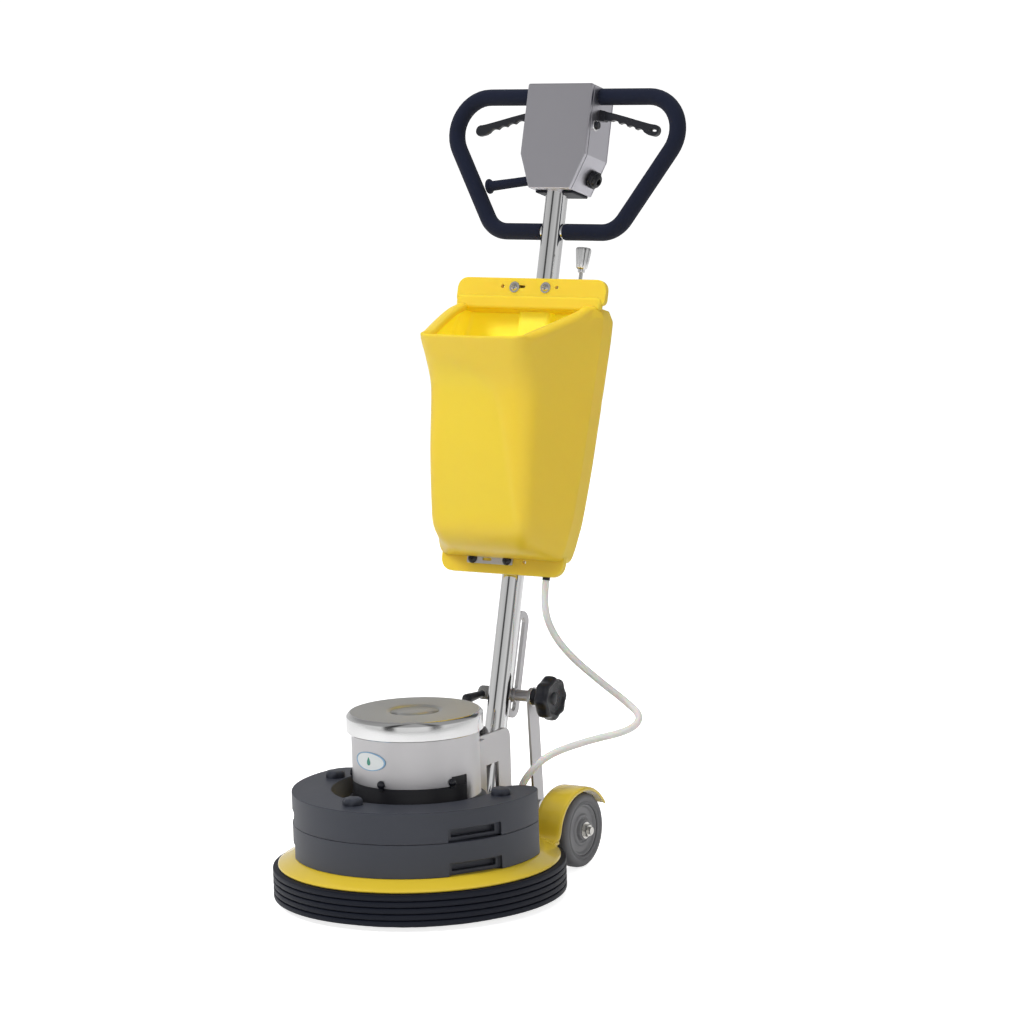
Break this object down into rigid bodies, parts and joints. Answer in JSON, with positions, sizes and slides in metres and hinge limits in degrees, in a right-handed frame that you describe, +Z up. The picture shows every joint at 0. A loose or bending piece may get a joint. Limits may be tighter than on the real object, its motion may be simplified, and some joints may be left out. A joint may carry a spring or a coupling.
{
  "type": "floor scrubber machine",
  "caption": "Walk-behind rotary floor scrubber: round weighted base with motor, two rear wheels, tilting mast, solution tank and loop handle with squeeze levers.",
  "frame": {"origin": "on the floor at the pad's spin axis, at the centre of the pad's lower face", "axes": "+X the machine's right, -Y its front, +Y its wheels and operator, +Z up"},
  "size_m": [0.44, 0.7647, 1.1907],
  "materials": {
    "yellow_paint": "gloss",
    "black_rubber": "satin",
    "weight_paint": "satin",
    "black_cast": "black painted casting",
    "gear_steel": "machined",
    "satin_steel": "satin",
    "black_plastic": "moulded",
    "polished_steel": "polished",
    "badge_enamel": null,
    "lamination": "stacked",
    "capacitor_case": "gloss",
    "bolt_steel": "zinc plated",
    "brass_fitting": "satin",
    "pad_fibre": "nonwoven",
    "grey_tyre": "satin",
    "grey_hub": "moulded",
    "chrome_tube": "polished",
    "yellow_plastic": "moulded polyethylene",
    "clear_hose": "translucent",
    "foam": "foam",
    "chrome_trim": "polished"
  },
  "bodies": {
    "base": {"base_deck": "yellow_paint", "bumper": "black_rubber", "weight_lower": "weight_paint", "weight_upper": "weight_paint", "weight_knobs": "weight_paint", "gearbox_housing": "black_cast", "ring_gear": "gear_steel", "motor_cover": "satin_steel", "cover_screws": "black_plastic", "motor_cap": "polished_steel", "badge": "badge_enamel", "stator": "lamination", "rear_cover": "satin_steel", "capacitor": "capacitor_case", "yoke": "satin_steel", "pivot_bolt": "bolt_steel", "axle": "bolt_steel", "axle_nuts": "bolt_steel", "hose_inlet": "brass_fitting", "strut_pin": "bolt_steel"},
    "brush": {"planet_carrier": "gear_steel", "pad_driver": "black_plastic", "scrub_pad": "pad_fibre"},
    "rotor": {"rotor_core": "lamination", "rotor_shaft": "gear_steel"},
    "planet_1": {"planet_gear_1": "gear_steel"},
    "planet_2": {"planet_gear_2": "gear_steel"},
    "planet_3": {"planet_gear_3": "gear_steel"},
    "wheel_right": {"wheel_tyre_right": "grey_tyre", "wheel_hub_right": "grey_hub"},
    "wheel_left": {"wheel_tyre_left": "grey_tyre", "wheel_hub_left": "grey_hub"},
    "struts": {"strut_right": "satin_steel", "strut_left": "satin_steel", "clamp_bolt": "bolt_steel"},
    "clamp_knob": {"star_knob": "black_plastic"},
    "clamp_lever": {"cam_lever": "black_plastic"},
    "mast": {"mast_tube": "chrome_tube", "slotted_link": "satin_steel", "upper_bracket": "satin_steel", "lower_bracket": "satin_steel", "tank": "yellow_plastic", "tank_screws": "bolt_steel", "clip_plate": "satin_steel", "tank_spigot": "black_plastic", "hose": "clear_hose", "handle_tube": "chrome_tube", "grip_right": "foam", "grip_left": "foam", "box_shell": "satin_steel", "box_cover": "satin_steel", "switch_block": "black_plastic", "button_bezel": "chrome_trim", "cable_gland": "black_plastic", "cord_hook": "black_plastic"},
    "trigger_right": {"lever_right": "black_plastic"},
    "trigger_left": {"lever_left": "black_plastic"},
    "button": {"safety_button": "black_plastic"},
    "valve": {"valve_rod": "bolt_steel", "valve_knob": "chrome_trim"}
  },
  "joints": [
    {"name": "mast_tilt", "type": "hinge", "parent": "base", "child": "mast", "pos_m": [0, 0.19718, 0.10995], "axis": [-1, 0, 0], "range_deg": [-10, 22], "deforming": ["hose"]},
    {"name": "strut_swing", "type": "hinge", "parent": "base", "child": "struts", "pos_m": [0, 0.2902, 0.08], "axis": [-1, 0, 0], "range_deg": [-10.5, 23]},
    {"name": "brush_spin", "type": "hinge", "parent": "base", "child": "brush", "pos_m": [0, 0, 0.05], "axis": [0, 0, 1], "continuous": true},
    {"name": "rotor_spin", "type": "hinge", "parent": "base", "child": "rotor", "pos_m": [0, 0, 0.2], "axis": [0, 0, 1], "continuous": true},
    {"name": "planet_1_spin", "type": "hinge", "parent": "brush", "child": "planet_1", "pos_m": [0.02625, 0, 0.098], "axis": [0, 0, 1], "continuous": true},
    {"name": "planet_2_spin", "type": "hinge", "parent": "brush", "child": "planet_2", "pos_m": [-0.01312, 0.02273, 0.098], "axis": [0, 0, 1], "continuous": true},
    {"name": "planet_3_spin", "type": "hinge", "parent": "brush", "child": "planet_3", "pos_m": [-0.01312, -0.02273, 0.098], "axis": [0, 0, 1], "continuous": true},
    {"name": "wheel_right_spin", "type": "hinge", "parent": "base", "child": "wheel_right", "pos_m": [0.126, 0.252, 0.0588], "axis": [1, 0, 0], "continuous": true},
    {"name": "wheel_left_spin", "type": "hinge", "parent": "base", "child": "wheel_left", "pos_m": [-0.126, 0.252, 0.0588], "axis": [1, 0, 0], "continuous": true},
    {"name": "clamp_knob_turn", "type": "hinge", "parent": "struts", "child": "clamp_knob", "pos_m": [0.06, 0.281, 0.254], "axis": [1, 0, 0], "continuous": true},
    {"name": "clamp_lever_turn", "type": "hinge", "parent": "struts", "child": "clamp_lever", "pos_m": [-0.05, 0.281, 0.254], "axis": [1, 0, 0], "range_deg": [-75, 0]},
    {"name": "trigger_right_squeeze", "type": "hinge", "parent": "mast", "child": "trigger_right", "pos_m": [0.046, 0.49944, 1.14047], "axis": [0, -0.9616, 0.2743], "range_deg": [0, 11], "stiffness_Nm_per_rad": 1.2, "springref_deg": -8.59},
    {"name": "trigger_left_squeeze", "type": "hinge", "parent": "mast", "child": "trigger_left", "pos_m": [-0.046, 0.49944, 1.14047], "axis": [0, 0.9616, -0.2743], "range_deg": [0, 11], "stiffness_Nm_per_rad": 1.2, "springref_deg": -8.59},
    {"name": "safety_button_press", "type": "slide", "parent": "mast", "child": "button", "axis": [-1, 0, 0], "range_m": [0, 0.004], "stiffness_N_per_m": 600, "springref_m": -0.001},
    {"name": "valve_lift", "type": "slide", "parent": "mast", "child": "valve", "axis": [0, 0.2743, 0.9616], "range_m": [0, 0.014]}
  ],
  "couplings": [
    {"joint": "strut_swing", "follows": "mast_tilt", "ratio": 1.04},
    {"joint": "rotor_spin", "follows": "brush_spin", "ratio": 7},
    {"joint": "planet_1_spin", "follows": "brush_spin", "ratio": -2.4},
    {"joint": "planet_2_spin", "follows": "brush_spin", "ratio": -2.4},
    {"joint": "planet_3_spin", "follows": "brush_spin", "ratio": -2.4}
  ]
}
